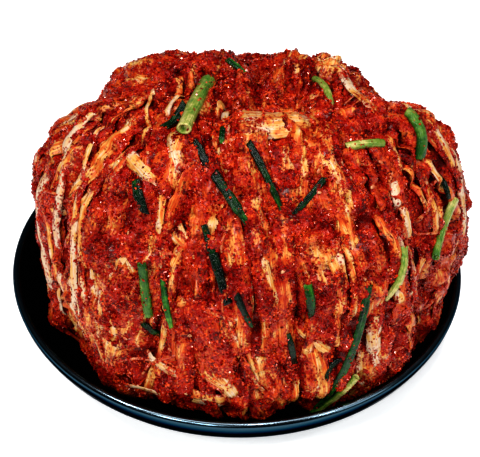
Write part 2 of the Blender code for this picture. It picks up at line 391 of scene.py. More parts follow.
def heap_reach():
    """The quarters' own reach, softened above the rim of the dish and with the crown's gaps filled to their
    neighbours' mean, plus the swells and hollows, each its height times exp(-(angle / width)2), plus
    furrows where a noise, drawn out upright on the sides, passes through 0."""
    corners = np.concatenate([packed_corners(name) for name in QUARTERS])
    which, shares = spread_over(corners, 0.9 * MM, 11)
    raw = Reach.of_points((corners[which] * shares[..., None]).sum(1))
    soft = raw.softened(3)
    latitude = (np.arange(Reach.UP) + 0.5) / Reach.UP * math.pi - RIGHT_ANGLE
    azimuth = (np.arange(Reach.ACROSS) + 0.5) / Reach.ACROSS * 2 * math.pi - math.pi
    blend = smooth(latitude, math.radians(-32), math.radians(-18))[:, None]
    table = raw.table * (1 - blend) + soft.table * blend
    ray = rays(azimuth[None, :], latitude[:, None])
    top = smooth(latitude, math.radians(44), math.radians(58))[:, None]
    table = table + np.maximum(ring_mean(Reach(table), ray, 9) - 1.0 * MM - table, 0) * top
    for az, lat, width, height in SWELLS:
        middle = rays(math.radians(az), math.radians(lat))
        off = np.degrees(np.arccos(np.clip(ray @ middle, -1, 1)))
        table = table + height * MM * np.exp(-(off / width) ** 2)
    skin = HEART + ray * table[..., None]
    rise = smooth(latitude, math.radians(-30), math.radians(-15))[:, None]
    crown = smooth(latitude, math.radians(35), math.radians(60))[:, None]
    standing = value_noise(skin, (15 * MM, 15 * MM, 70 * MM), 91) + 0.3 * value_noise(skin, 6 * MM, 92)
    heaped = value_noise(skin, 17 * MM, 93) + 0.3 * value_noise(skin, 6 * MM, 94)
    ridge = np.abs(standing * (1 - crown) + heaped * crown)
    swelling = smooth(ridge, 0.0, 0.30) * 4.5 + ridge * 2.0 - 4.0
    return Reach(table + swelling * rise * MM)


reach = heap_reach()


# ---------------------------------------------------------------- finishes

DARK_CHILLI = (0.080, 0.0014, 0.0007)
RED_CHILLI = (0.310, 0.0066, 0.0024)
BRIGHT_CHILLI = (0.590, 0.0400, 0.0100)
ORANGE_OIL = (0.700, 0.1250, 0.0180)
# Painted shade: near black put into the paste where its relief sinks into hollows.
PAINTED_FOLD_SHADE = (0.030, 0.0006, 0.0004)
CREAM_STEM = (0.64, 0.49, 0.35)
YELLOW_LEAF = (0.66, 0.37, 0.09)
STAINED_ORANGE = (0.58, 0.10, 0.015)
WET_PINK = (1.0, 0.70, 0.64, 1)
BRINE_COAT = {"Coat Roughness": 0.22, "Coat IOR": 1.35}


def paste_colour(finish, where):
    """Wet chilli paste: grains of flake in dark, red and bright chilli over patches stained by oil."""
    grain = finish.grains(where, 1.8 * MM, "Color")
    fine = finish.grains(where, 0.9 * MM, "Color")
    patch = finish.noise(where, 12 * MM, 3.0)
    shade = grain * 0.55 + fine * 0.30 + patch * 2.2 - 1.08
    return finish.ramp(shade, (0.10, DARK_CHILLI), (0.40, RED_CHILLI), (0.62, (0.40, 0.015, 0.0045)),
                       (0.82, BRIGHT_CHILLI), (1.0, ORANGE_OIL))


def paste_grain(finish, where):
    """Height of the grains: rounded cells of two sizes."""
    coarse = 1 - finish.grains(where, 2.0 * MM)
    fine = 1 - finish.grains(where, 0.9 * MM)
    return coarse * 0.65 + fine * 0.35


def chilli_paste():
    """The paste itself, with painted shade: its colour drawn towards near black by the stored depth, where
    the relief sinks into hollows.
    """
    finish = Finish("chilli_paste", {"Specular IOR Level": 0.10, "Specular Tint": WET_PINK, **BRINE_COAT})
    where = finish.place()
    # Painted shade mixed into the paste colour by the stored value.
    shaded_paste = finish.mix(finish.stored("depth"), paste_colour(finish, where), PAINTED_FOLD_SHADE)
    finish.set("Base Color", shaded_paste)
    finish.set("Roughness", 0.30 + 0.35 * finish.noise(where, 2.5 * MM, 1.0))
    finish.set("Coat Weight", 0.1 + 0.5 * finish.step(finish.noise(where, 6 * MM, 1.0), 0.40, 0.65))
    finish.set("Normal", finish.bump(paste_grain(finish, where), 1.6 * MM, 1.0))
    return finish


def cabbage():
    """Salted cabbage: cream stem through yellow to orange by the stored tone, fine veins along the piece,
    and paste and single flakes where the stored paste says."""
    finish = Finish("salted_cabbage", {"Specular IOR Level": 0.15, **BRINE_COAT})
    where = finish.place()
    lay = finish.sheet()
    vein = finish.noise(finish.sheet((1, 0.04, 1)), 0.75 * MM, 2.0)
    wide_vein = finish.noise(finish.sheet((1, 0.09, 1)), 2.4 * MM, 2.0)
    stain = finish.noise(where, 8 * MM, 2.0)
    shade = finish.stored("tone") + (vein - 0.5) * 1.0 + (wide_vein - 0.5) * 0.9 + (stain - 0.5) * 0.9
    flesh = finish.ramp(shade, (0.0, CREAM_STEM), (0.14, (0.61, 0.38, 0.20)), (0.28, YELLOW_LEAF),
                        (0.40, (0.57, 0.20, 0.045)), (0.56, STAINED_ORANGE), (0.74, (0.44, 0.038, 0.007)),
                        (1.0, RED_CHILLI))
    paste = finish.stored("paste")
    ragged = finish.noise(finish.sheet((1, 0.3, 1)), 2.0 * MM, 3.0)
    crumbly = finish.grains(where, 1.4 * MM, "Color")
    cover = finish.step(paste + (ragged - 0.5) * 1.2 + (crumbly - 0.5) * 0.8, 0.32, 0.70)
    fleck = finish.step(finish.grains(where, 1.1 * MM, "Color") + paste * 0.3, 0.80, 0.90)
    mask = finish.node("Math", {"operation": "MAXIMUM"}, {0: cover, 1: fleck})
    wiped = finish.noise(finish.sheet((1, 0.12, 1)), 1.3 * MM, 2.0)
    smear = finish.step(paste + (wiped - 0.5) * 1.4, 0.15, 0.75)
    stained = finish.mix(smear * 0.8, flesh, (0.52, 0.060, 0.009))
    flecked = finish.mix(fleck, stained, (0.40, 0.020, 0.005))
    finish.set("Base Color", finish.mix(cover, flecked, paste_colour(finish, where)))
    finish.set("Roughness", 0.26 + 0.30 * finish.noise(where, 2.5 * MM, 1.0))
    finish.set("Coat Weight", 0.1 + 0.5 * finish.step(finish.noise(lay, 5 * MM, 1.0), 0.40, 0.65))
    veined = finish.bump(vein + wide_vein * 0.8, 0.6 * MM, 0.8)
    finish.set("Normal", finish.bump(paste_grain(finish, where) * mask, 1.5 * MM, 1.0, veined))
    return finish


def chilli_flake(name, dark, light, shine):
    """Dried flake soaked in brine: each flake its own stored shade."""
    finish = Finish(name, {"Roughness": 0.16, "Specular IOR Level": shine, "Specular Tint": WET_PINK})
    speck = finish.noise(finish.place(), 0.6 * MM, 1.0)
    shade = finish.stored("shade") * 0.8 + speck * 0.3
    finish.set("Base Color", finish.ramp(shade, (0.1, dark), (1.0, light)))
    return finish


def green_onion(name, stops):
    """Onion green by the stored shade, with fine lines along it, blotches and clinging paste."""
    finish = Finish(name, {"Specular IOR Level": 0.25})
    where = finish.place()
    line = finish.noise(finish.sheet((1, 0.03, 1)), 0.7 * MM, 2.0)
    blotch = finish.noise(where, 4 * MM, 2.0)
    shade = finish.stored("shade") + (line - 0.5) * 0.6 + (blotch - 0.5) * 0.7
    green = finish.ramp(shade, *stops)
    cling = finish.noise(where, 6 * MM, 5.0, 0.75)
    fleck = finish.step(cling, 0.62, 0.68)
    finish.set("Base Color", finish.mix(fleck, green, paste_colour(finish, where)))
    finish.set("Roughness", 0.06 + 0.20 * blotch)
    wet = finish.noise(where, 1.6 * MM, 2.0)
    finish.set("Normal", finish.bump(line * 0.6 + fleck * 1.5 + wet * 1.6, 0.5 * MM, 0.8))
    return finish


def shred_finish(name, pale, stained, mark):
    """A cut vegetable stained by paste in blotches, with fine fibres."""
    finish = Finish(name, {"Specular IOR Level": 0.5})
    where = finish.place()
    blotch = finish.noise(where, 4 * MM, 3.0)
    fleck = finish.step(finish.grains(where, 1.1 * MM, "Color"), 0.78, 0.84)
    stain = finish.mix(finish.step(blotch, 0.5 - mark, 0.62), pale, stained)
    finish.set("Base Color", finish.mix(fleck, stain, RED_CHILLI))
    finish.set("Roughness", 0.18 + 0.25 * blotch)
    finish.set("Normal", finish.bump(finish.noise(where, 0.9 * MM, 2.0), 0.3 * MM, 0.5))
    return finish


def lacquer():
    """Glossy blue-black lacquer, a little uneven, with faint dust and wiping marks, and a painted highlight:
    reflectance raised in a band on the lip.
    """
    finish = Finish("blue_black_lacquer", {"Metallic": 1.0, "Specular Tint": (0.05, 0.07, 0.09, 1)})
    where = finish.place()
    cloud = finish.noise(where, 40 * MM, 3.0)
    dust = finish.step(finish.grains(where, 2.2 * MM), 0.06, 0.02) * finish.step(cloud, 0.45, 0.7)
    base = finish.mix(cloud, (0.034, 0.070, 0.096), (0.048, 0.094, 0.125))
    # Painted highlight: the lip's reflectance raised in a narrow band at the angle where the overhead lamp's
    # highlight falls.
    with_lip_highlight = finish.mix(finish.stored("polish"), base, (0.17, 0.22, 0.26))
    finish.set("Base Color", finish.mix(dust * 0.5, with_lip_highlight, (0.05, 0.06, 0.07)))
    wipe = finish.noise(finish.place((1, 1, 0.2)), 9 * MM, 4.0)
    finish.set("Roughness", 0.10 + 0.16 * wipe)
    finish.set("Normal", finish.bump(finish.noise(where, 14 * MM, 2.0), 0.5 * MM, 0.15))
    return finish


# ---------------------------------------------------------------- the dish

def arc(centre, radius, start, end, steps):
    """Points of a circular arc, in degrees from the outward level."""
    turn = np.radians(np.linspace(start, end, steps))
    return np.stack([centre[0] + radius * np.cos(turn), centre[1] + radius * np.sin(turn)], -1)


def soft_line(points, steps):
    """A smooth line through the points: Catmull-Rom blends between each pair."""
    p = np.array(points, float)
    p = np.concatenate([[2 * p[0] - p[1]], p, [2 * p[-1] - p[-2]]])
    t = np.linspace(0, 1, steps, endpoint=False)[:, None]
    spans = [
        0.5 * (2 * b + (c - a) * t + (2 * a - 5 * b + 4 * c - d) * t**2 + (3 * b - a - 3 * c + d) * t**3)
        for a, b, c, d in zip(p[:-3], p[1:-2], p[2:-1], p[3:])
    ]
    return np.concatenate(spans + [p[-2:-1]])


def make_dish(steps=240):
    """The dish's profile turned about its axis: foot, outer wall, rolled lip, inner wall and floor, closed
    at the axis below and above. The lip carries a painted highlight: its reflectance is raised by
    exp(-((angle - 66) / 14)2), angles in degrees, where the overhead lamp's highlight falls."""
    outer = soft_line([(DISH_FOOT_RADIUS, 0.0)] + WALL_OUTSIDE[::-1], 7)
    lip = arc(LIP_CENTRE, LIP_RADIUS, 0, 180, 22)
    inner = soft_line([(LIP_CENTRE[0] - LIP_RADIUS, LIP_CENTRE[1])] + WALL_INSIDE[::-1], 7)[1:]
    level = np.array([(0.08, DISH_FLOOR), (0.04, DISH_FLOOR)])
    profile = np.concatenate([np.array([(0.05, 0.0), (0.1, 0.0)]), outer, lip, inner, level])
    turn = np.linspace(0, 2 * math.pi, steps, endpoint=False)
    around = np.stack([np.cos(turn), np.sin(turn)], -1)
    heights = np.repeat(profile[:, None, 1:], steps, 1)
    rings = np.concatenate([profile[:, None, :1] * around[None], heights], -1)
    points = np.concatenate([rings.reshape(-1, 3), [[0, 0, 0], [0, 0, DISH_FLOOR]]])
    last = len(points) - 2
    first_ring = np.arange(steps)
    last_ring = first_ring + (len(profile) - 1) * steps
    faces = [grid_faces(len(profile), steps), fan_faces(first_ring, last, False),
             fan_faces(last_ring, last + 1, True)]
    # Painted highlight band round the lip, peaking 66 degrees up from the outward level, where the overhead
    # lamp's highlight falls.
    lip_highlight_profile = np.zeros(len(profile))
    first = len(profile) - len(level) - len(inner) - len(lip)
    turned = np.linspace(0, 180, len(lip))
    lip_highlight_profile[first:first + len(lip)] = np.exp(-((turned - 66) / 14) ** 2)
    polish = np.concatenate([np.repeat(lip_highlight_profile, steps), [0, 0]])
    dish = make_piece("lacquered_dish", points, faces, lacquer(), {"polish": polish})
    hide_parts("dish")
    return dish


# ---------------------------------------------------------------- the paste core

def make_core(across=420, up=236):
    """The heap's skin on a grid of azimuth by latitude. Its height over the quarters' reach is the sum of
    folds (noise drawn out down the heap), lumps and grains of noise, with the paste thicker in patches.
    Rows are closer above the rim."""
    share = np.linspace(0, 1, up)[1:-1]
    latitude = np.interp(share, [0, 0.12, 0.20, 1], np.radians([-90, -52, -38, 90]))
    azimuth = np.linspace(-math.pi, math.pi, across, endpoint=False)
    ray = rays(azimuth[None, :], latitude[:, None])
    skin = HEART + ray * reach.at(ray)[..., None]
    high = smooth(latitude, math.radians(-32), math.radians(-20))[:, None]
    side = np.cos(latitude)[:, None]
    folds = value_noise(skin, (5 * MM, 5 * MM, 34 * MM), 1) * 2.0
    folds = folds + value_noise(skin, (9 * MM, 9 * MM, 50 * MM), 2) * 1.5
    lumps = value_noise(skin, 9 * MM, 3) * 1.5 + smooth(value_noise(skin, 13 * MM, 4), 0.1, 0.7) * 3.0
    grains = value_noise(skin, 4.2 * MM, 5) * 1.0 + value_noise(skin, 2.6 * MM, 6) * 0.7
    relief = (folds * (0.15 + 0.85 * side) + lumps * (0.7 + 0.3 * side) + grains - 3.0) * MM
    rise = relief * high + (1 - high) * np.minimum(relief, 0) * 0.3 - (1 - high) * 1.0 * MM
    points = keep_in_dish(HEART + ray * (reach.at(ray) + rise)[..., None]).reshape(-1, 3)
    poles = HEART + np.array([[0, 0, -1], [0, 0, 1]]) * (
        np.linalg.norm(points[[0, -1]] - HEART, axis=1) * np.abs(np.sin(latitude[[0, -1]])))[:, None]
    points = np.concatenate([points, poles])
    rows = len(latitude)
    ring = np.arange(across)
    faces = [grid_faces(rows, across), fan_faces(ring, rows * across, False),
             fan_faces(ring + (rows - 1) * across, rows * across + 1, True)]
    # Painted shade: how far the relief sinks below the heap, stored to darken the paste's colour there; the
    # lower pole is fully shaded.
    depth = np.concatenate([smooth(-relief / MM, 0.5, 6.0).ravel(), [1, 0]])
    core = make_piece("paste_heap", points, faces, chilli_paste(), {"depth": depth})
    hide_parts(*QUARTERS)
    return points, faces


# ---------------------------------------------------------------- cabbage leaves and stems

# Strips laid where a leaf or stem stands out. Azimuth and latitude of both ends, then width, lift over the
# heap, rise of the right edge over the left (mm), bareness from 0 to 1, and tone from 0 (cream) to 1 (red).
CHOSEN_LEAVES = [
    # left shoulder
    (-94, 46, -90, 2, 9, 0.6, 1, .55, .25), (-98, 42, -97, -2, 9, 0.6, -1, .55, .30),
    (-80, 49, -100, 16, 8, 1.0, 1, .60, .36), (-88, 34, -83, 6, 7, 1.4, 0, .66, .34),
    (-83, 47, -74, 30, 10, 2.4, 0, .92, .06), (-77, 44, -66, 14, 6, 1.6, 1, .70, .30),
    (-74, 40, -61, 6, 9, 2.6, 0, .97, .03), (-82, 26, -64, -12, 10, 2.4, 0, .95, .06),
    (-71, 24, -59, -6, 5, 2.2, 0, .86, .30), (-72, 48, -58, 30, 4.5, 2.2, 0, .80, .14),
    (-61, 36, -44, 0, 5, 3.0, -1, .97, .03), (-56, 36, -41, 2, 7, 2.2, 0, .80, .26),
    (-53, 45, -41, 36, 8, 1.4, 0, .74, .10), (-64, 6, -42, -14, 7, 2.0, 0, .90, .10),
    (-51, 16, -42, -8, 5, 2.0, 0, .85, .12), (-92, 20, -72, -18, 8, 1.6, 0, .80, .16),
    # left of the middle
    (-52, 46, -30, 42, 11, 2.5, 0, .96, .10), (-45, 58, -24, 46, 12, 0.7, 1, .85, .06),
    (-33, 59, -12, 36, 13, 0.5, 1, .60, .40), (-31, 49, -24, 21, 8, 0.7, 1, .78, .24),
    (-74, 68, -52, 59, 5.5, 1.3, 1, .85, .16), (-19, 59, -6, 46, 6, 0.7, 1, .60, .14),
    (-35, 64, -22, 60, 7, 0.5, 1, .60, .20), (-33, 28, -40, 8, 6, 0.7, 1, .68, .20),
    (-38, 17, -38, -6, 5, 0.7, 1, .68, .18), (-36, 26, -29, 15, 9, 0.5, 1, .70, .20),
    (-28, -5, -15, -6, 8, 1.3, 0, .90, .10), (-36, -17, -18, -14, 5, 0.9, 1, .75, .12),
    (-27, 38, -24, 24, 6, 0.5, 1, .60, .40), (-25, 36, -14, 25, 6, 0.5, 1, .62, .26),
    (-43, 2, -33, -20, 8, 0.3, 2, .50, .32), (-21, 16, -19, -8, 9, 0.3, 1, .45, .50),
    # middle
    (-14, 49, -2, 22, 20, 0.9, 2, .68, .36), (-15, 21, -6, -11, 28, 0.3, 2, .36, .58),
    (-7, 20, 6, -13, 5, 1.5, 2, .78, .26), (-11, -1, -2, -13, 11, 0.9, 0, .80, .26),
    (-16, -14, -4, -15, 7, 1.1, 0, .86, .16), (2, 40, 9, 13, 6.5, 1.3, -1, .82, .20),
    (24, 62, 14, 38, 29, 0.7, 1, .56, .44), (11, 44, 12, 11, 12, 0.7, 1, .42, .58),
    (13, 9, 23, -1, 11, 0.7, 1, .64, .34), (4, 4, 14, -18, 12, 0.1, -1, .30, .60),
    # crown
    (-50, 80, 150, 84, 6, 1.5, 1, .72, .30), (-18, 65, 44, 62, 30, 3.8, 0, .88, .29),
    (-32, 75, -12, 58, 7, 1.9, 1, .80, .10), (155, 55, 107, 58, 8, 1.9, 1, .60, .42),
    (122, 60, 62, 50, 11, 5.2, 0, .95, .14), (-106, 53, -144, 71, 10, 0.9, 1, .62, .50),
    # right of the middle
    (37, 60, 28, 39, 5, 1.7, 2, .66, .44), (29, 45, 30, 26, 6, 1.5, 2, .72, .38),
    (42, 60, 32, 42, 7, 0.5, 1, .55, .18), (67, 48, 55, 37, 6, 1.1, 1, .70, .38),
    (58, 42, 50, 30, 7, 1.5, 1, .92, .05), (53, 33, 50, 21, 6, 1.3, 1, .82, .08),
    (50, 39, 42, 29, 12, 0.5, 1, .58, .36), (28, 40, 31, 26, 14, 0.5, 1, .50, .50),
    (26, 35, 25, 16, 6, 1.3, 1, .74, .34), (28, 26, 27, 8, 5, 1.3, 1, .72, .30),
    (44, 31, 43, 13, 6, 1.3, 1, .78, .12), (42, 20, 41, 7, 7, 1.5, 1, .86, .05),
    (34, 13, 36, -15, 9, 1.5, 1, .86, .07), (30, -17, 39, -13, 6, 0.9, 0, .75, .14),
    # right shoulder
    (67, 38, 60, 14, 6, 1.7, 1, .74, .30), (81, 42, 77, 24, 9, 2.0, 1, .86, .10),
    (84, 36, 73, 1, 8, 2.0, 1, .86, .08), (79, 15, 65, 1, 7, 1.1, 1, .75, .46),
    (68, 8, 65, -23, 7.5, 1.3, 1, .78, .46), (62, 15, 41, 8, 4, 0.9, 1, .75, .30),
    (95, 38, 83, -6, 9, 0.9, 1, .60, .25), (101, 40, 97, -4, 9, 0.6, -2, .55, .35),
    # pale streaks low on the left
    (-45, 19, -41, 7, 5, 1.2, 0, .88, .12), (-39, 15, -39, 0, 7, 1.0, 0, .84, .10),
    (-61, 5, -60, -15, 5, 1.4, 0, .86, .12), (-47, 12, -45, -5, 4.5, 1.2, 0, .88, .08),
    (-59, -9, -53, -20, 7, 0.8, 0, .74, .22), (-15, -12, -4, -13, 9, 2.2, 0, .94, .29),
    (-13, -3, -4, -10, 10, 1.0, 0, .78, .34), (-14, 16, 0, 12, 12, 0.8, 0, .78, .32),
    (-25, 34, -15, 27, 10, 0.6, 0, .74, .30), (-37, 27, -32, 13, 7, 0.8, 0, .80, .28),
    # pale streaks low on the right
    (4, 38, 6, 18, 6, 1.0, 0, .84, .16), (23, 32, 24, 9, 7, 1.2, 0, .84, .32),
    (42, 29, 42, 8, 7.5, 1.3, 0, .90, .06), (34, 11, 36, -12, 12, 1.1, 0, .84, .07),
    (46, 9, 57, 15, 5, 0.9, 0, .78, .32), (62, -14, 72, 9, 6, 1.8, 0, .84, .38),
    (-3, 14, 4, -11, 4.5, 1.2, 0, .82, .34), (18, 13, 16, -3, 9, 0.8, 0, .74, .34),
    (31, 36, 30, 23, 6, 1.0, 0, .80, .22),
]

LEAF_COLUMNS, LEAF_ROWS, CROWN_LEAVES = 58, 5, 40
GOLDEN_ANGLE = 137.508
TYPICAL_REACH = 0.15


def fill_leaves(seed):
    """Seeded strips all round, in the same columns as CHOSEN_LEAVES. Below the crown they stand in columns,
    each leaf lapping over the next like pages. Over the crown, spread by the golden angle, they run from
    front to back."""
    rng = np.random.default_rng(seed)
    column, row = np.divmod(np.arange(LEAF_COLUMNS * LEAF_ROWS), LEAF_ROWS)
    azimuth = (column + 0.5 * (row % 2)) / LEAF_COLUMNS * 360 + rng.normal(0, 1.6, len(column))
    latitude = np.array([-26, -8, 10, 27, 44])[row] + rng.normal(0, 5, len(column))
    crown = np.arange(CROWN_LEAVES)
    azimuth = np.radians(np.concatenate([azimuth, crown * GOLDEN_ANGLE]))
    latitude = np.concatenate([np.radians(latitude), np.arcsin(np.linspace(0.78, 0.995, CROWN_LEAVES))])
    count = len(azimuth)
    middle = rays(azimuth, latitude)
    down = unit(middle * middle[:, 2:] - [0, 0, 1])
    fore = unit(middle * middle[:, 1:2] - [0, 1, 0])
    fore = fore * np.where((fore * down).sum(-1, keepdims=True) < 0, -1, 1)
    heading = unit(down + (fore - down) * smooth(latitude, math.radians(42), math.radians(60))[:, None])
    slew = 0.10 * np.sin(azimuth * 5 + 1) + rng.normal(0, 0.07, count)
    heading = unit(heading + np.cross(middle, heading) * slew[:, None])
    run = np.radians(rng.uniform(8, 17, count))[:, None]
    start = np.degrees(angles(middle * np.cos(run) - heading * np.sin(run)))
    end = np.degrees(angles(middle * np.cos(run) + heading * np.sin(run)))
    width = rng.choice([5, 8, 11, 14, 18, 24], count) * rng.uniform(0.8, 1.2, count)
    lift = rng.uniform(-0.8, 1.2, count)
    tilt = np.where(np.sin(azimuth * 4.0 + 0.8) > 0, 1, -1) * rng.uniform(0.3, 1.8, count)
    bare = rng.beta(1.8, 2.5, count)
    tone = rng.uniform(0.28, 0.72, count)
    return np.stack([*start, *end, width, lift, tilt, bare, tone], -1)


def level_out(base, width):
    """A placed leaf bridges the furrows under it: its base drawn towards the quartic in t that fits its mean
    across best, and a wide one less so."""
    t = np.linspace(0, 1, base.shape[1])
    even = np.polyval(np.polyfit(t, base.mean(-1).T, 4), t[:, None]).T[..., None]
    share = np.where(width < 12 * MM, 0.8, 0.35)
    return base * (1 - share) + even * share


def leaf_paths(rows, seed, rng, torn, t, x):
    """Rays of the strips' points, their half widths, how full they are near the ends and how deep the ends
    are tucked, with what sets each one's waves. A strip follows a great circle from end to end, bowed and
    swaying to the side, and its width breathes by a tenth. A torn end is ragged and isn't tucked."""
    count = len(rows)
    start, end = rays(*np.radians(rows[:, :2].T)), rays(*np.radians(rows[:, 2:4].T))
    width = rows[:, 4][:, None, None] * MM
    span = np.arccos(np.clip((start * end).sum(-1), -1, 1))[:, None, None]
    normal = unit(np.cross(start, end))[:, None, None, :]
    bow = rng.uniform(-0.05, 0.05, count)[:, None, None] * span
    wander = rng.uniform(0, 2 * math.pi, (2, count, 1, 1))
    rag_place = np.broadcast_arrays(x * 3.2, np.arange(count)[:, None, None] * 7.3 + 0 * t, 0 * x)
    rag = value_noise(np.stack(rag_place, -1), 1, seed) * 0.10
    torn_start, torn_end = (rng.random((2, count, 1, 1)) < torn).astype(float)

    along = t + rag * (torn_end * smooth(t, 0.7, 1.0) - torn_start * smooth(1 - t, 0.7, 1.0))
    first = np.sin((1 - along) * span) / np.sin(span)
    second = np.sin(along * span) / np.sin(span)
    path = first[..., None] * start[:, None, None, :] + second[..., None] * end[:, None, None, :]
    blunt = 0.10 if torn else 0.22
    tip = 1
    for inward in (t, 1 - t):
        tip = tip * np.sqrt(1 - np.clip(1 - inward / blunt, 0, 1) ** 2)
    breathe = 1 + 0.10 * np.sin(t * 6 * (0.6 + 0.5 * np.sin(wander[0])) + wander[0])
    breathe = breathe + 0.03 * np.sin(t * 17 + wander[1])
    half = width / 2 * breathe * (0.06 + 0.94 * tip)
    sway = bow * np.sin(math.pi * t) + 0.006 * span * np.sin(2 * math.pi * t + wander[1])
    ray = unit(path + normal * (sway + half * x / TYPICAL_REACH)[..., None])
    tuck = 0.14 if torn else 0.24
    tucked = (1 - smooth(t, 0, tuck)) * (1 - torn_start) + (1 - smooth(1 - t, 0, tuck)) * (1 - torn_end)
    return ray, half, tip, tucked, span * TYPICAL_REACH, wander[0]


def lay_leaves(rows, seed, under, torn, rings, sides):
    """Each strip is a flattened closed tube over the heap. Across it, x runs from -1 to 1 as the cosine of
    the angle round the tube, and t runs along it from 0 to 1. Its height over the heap is the lift, plus
    tilt times x, plus curl times x2, plus ruffles that grow towards the edges, plus veins, plus noise, plus
    half its thickness times the sine of that angle, plus a coat of paste. Untorn ends sink into the heap."""
    rng = np.random.default_rng(seed)
    count = len(rows)
    width, lift, tilt = (rows[:, 4:7].T * MM)[:, :, None, None]
    bare, tone = rows[:, 7:9].T[:, :, None, None]
    t = np.linspace(0, 1, rings)[None, :, None]
    turn = np.linspace(0, 2 * math.pi, sides, endpoint=False)[None, None, :]
    x, up = np.cos(turn), np.sin(turn)
    ray, half, tip, tucked, length, phase = leaf_paths(rows, seed, rng, torn, t, x)
    base = under.at(ray)
    if not torn:
        base = level_out(base, width)
    place = HEART + ray * base[..., None]

    stem = rng.uniform(0.0, 1.0, (count, 1, 1))
    thick = np.clip(width * 0.24, 1.3 * MM, 3.0 * MM) * (0.75 + 0.5 * stem)
    curl = rng.uniform(-0.22, -0.05, (count, 1, 1)) * np.clip(width, 0, 13 * MM)
    ruffle = rng.uniform(0.0, 0.35, (count, 1, 1)) * MM * np.clip(width / (12 * MM), 0.15, 1.4)
    pace = rng.uniform(0.7, 1.4, (count, 1, 1)) / (7 * MM)
    waves = np.sin(t * length * 2 * math.pi * pace + phase + x)
    strand = x * np.clip(width / (2.4 * MM), 1, 9) * math.pi
    veins = np.cos(strand + value_noise(place, 9 * MM, seed + 1) * 2.5)
    height = lift + tilt * x * (0.4 + 0.6 * np.sin(math.pi * t)) + (curl + ruffle * waves) * x**2
    height = height + veins * 0.22 * MM * (up > 0) * np.clip(width / (10 * MM), 0.4, 1)
    height = height + value_noise(place, 8 * MM, seed + 2) * 0.8 * MM - tucked * 4.5 * MM

    offset = np.arange(count)[:, None, None] * 0.0371
    flat = np.stack(np.broadcast_arrays(half * x + offset, (t * length + offset) * 0.3, offset), -1)
    spread = value_noise(flat, 5 * MM, seed + 3) * 0.55 + value_noise(flat, 2.4 * MM, seed + 4) * 0.35
    spread = spread + value_noise(place, 12 * MM, seed + 8) * 0.35
    sunk = smooth(-x * np.sign(tilt), -0.1, 1.0) * 0.40 + smooth(np.abs(x), 0.55, 1.0) * 0.15
    paste = np.clip(np.clip(0.92 - bare + sunk + spread, 0, 1) + tucked * 0.7, 0, 1)
    lumps = value_noise(place, 2.6 * MM, seed + 5) * 0.55 + value_noise(place, 5 * MM, seed + 6) * 0.35
    coat = paste * (0.55 + lumps) * np.maximum(up, 0) * 1.2 * MM
    height = height + thick / 2 * up * (0.25 + 0.75 * tip) + coat
    points = keep_in_dish(HEART + ray * (base + height)[..., None])

    lay = np.stack([half * x + offset, np.broadcast_to(t * length, base.shape) + offset], -1)
    tones = tone + value_noise(place, 14 * MM, seed + 7) * 0.16
    return points, lay, {"paste": paste, "tone": tones}


def strip_faces(count, rings, sides):
    """Faces of a stack of closed tubes with flat caps at both ends."""
    tube = grid_faces(rings, sides)[:, ::-1]
    shift = (np.arange(count) * rings * sides)[:, None, None]
    start_cap = np.arange(sides)[None, :]
    end_cap = (start_cap + (rings - 1) * sides)[:, ::-1]
    caps = np.concatenate([start_cap, end_cap])
    return [(tube[None] + shift).reshape(-1, 4), (caps[None] + shift).reshape(-1, sides)]


def make_leaves(name, rows, seed, under, finish, torn=0.22, rings=56, sides=16):
    """One piece of many strips, with the share of torn ends and the points along and round each. Gives its
    points, faces and paste."""
    points, lay, stored = lay_leaves(np.asarray(rows, float), seed, under, torn, rings, sides)
    faces = strip_faces(len(rows), rings, sides)
    make_piece(name, points.reshape(-1, 3), faces, finish, stored, lay)
    return points.reshape(-1, 3), faces, stored["paste"].reshape(-1)


# ---------------------------------------------------------------- cut green onion

# How light each onion piece is, from 0 (blackish green) to 1 (pale yellow-green), in the nodes' order.
STEM_SHADES = [.73, .78, .76, .50, .74, .82, .80, .44, .60, .75, .65, .55]
LEAF_SHADES = [.20, .50, .28, .24, .30, .10, .14, .18, .60, .35, .44, .14, .20, .40, .14, .18, .40,
               .45, .35, .30, .50, .40]


# How much paste clings to each kind of piece, from 0 to 1, for the crumbs that land on it.
CORE_PASTE, SHRED_PASTE, ONION_PASTE = 0.90, 0.55, 0.34

# Rows of points inside each hollow end of an onion piece.
HOLLOW_ROWS = 3


def packed_run(node):
    """The middle line of a packed onion piece: the quadratic in place along its longest axis that fits its
    corner points best, with its length and its width."""
    points = packed_corners(node).reshape(-1, 3)
    middle = points.mean(0)
    axes = np.linalg.svd(points - middle, full_matrices=False)[2]
    along = (points - middle) @ axes[0]
    fit = np.polyfit(along, points, 2)
    off = points - np.stack([np.polyval(fit[:, i], along) for i in range(3)], -1)
    width = 2 * np.abs(off @ np.cross(axes[0], unit(middle - HEART))).max()
    return fit, along.min(), along.max(), width


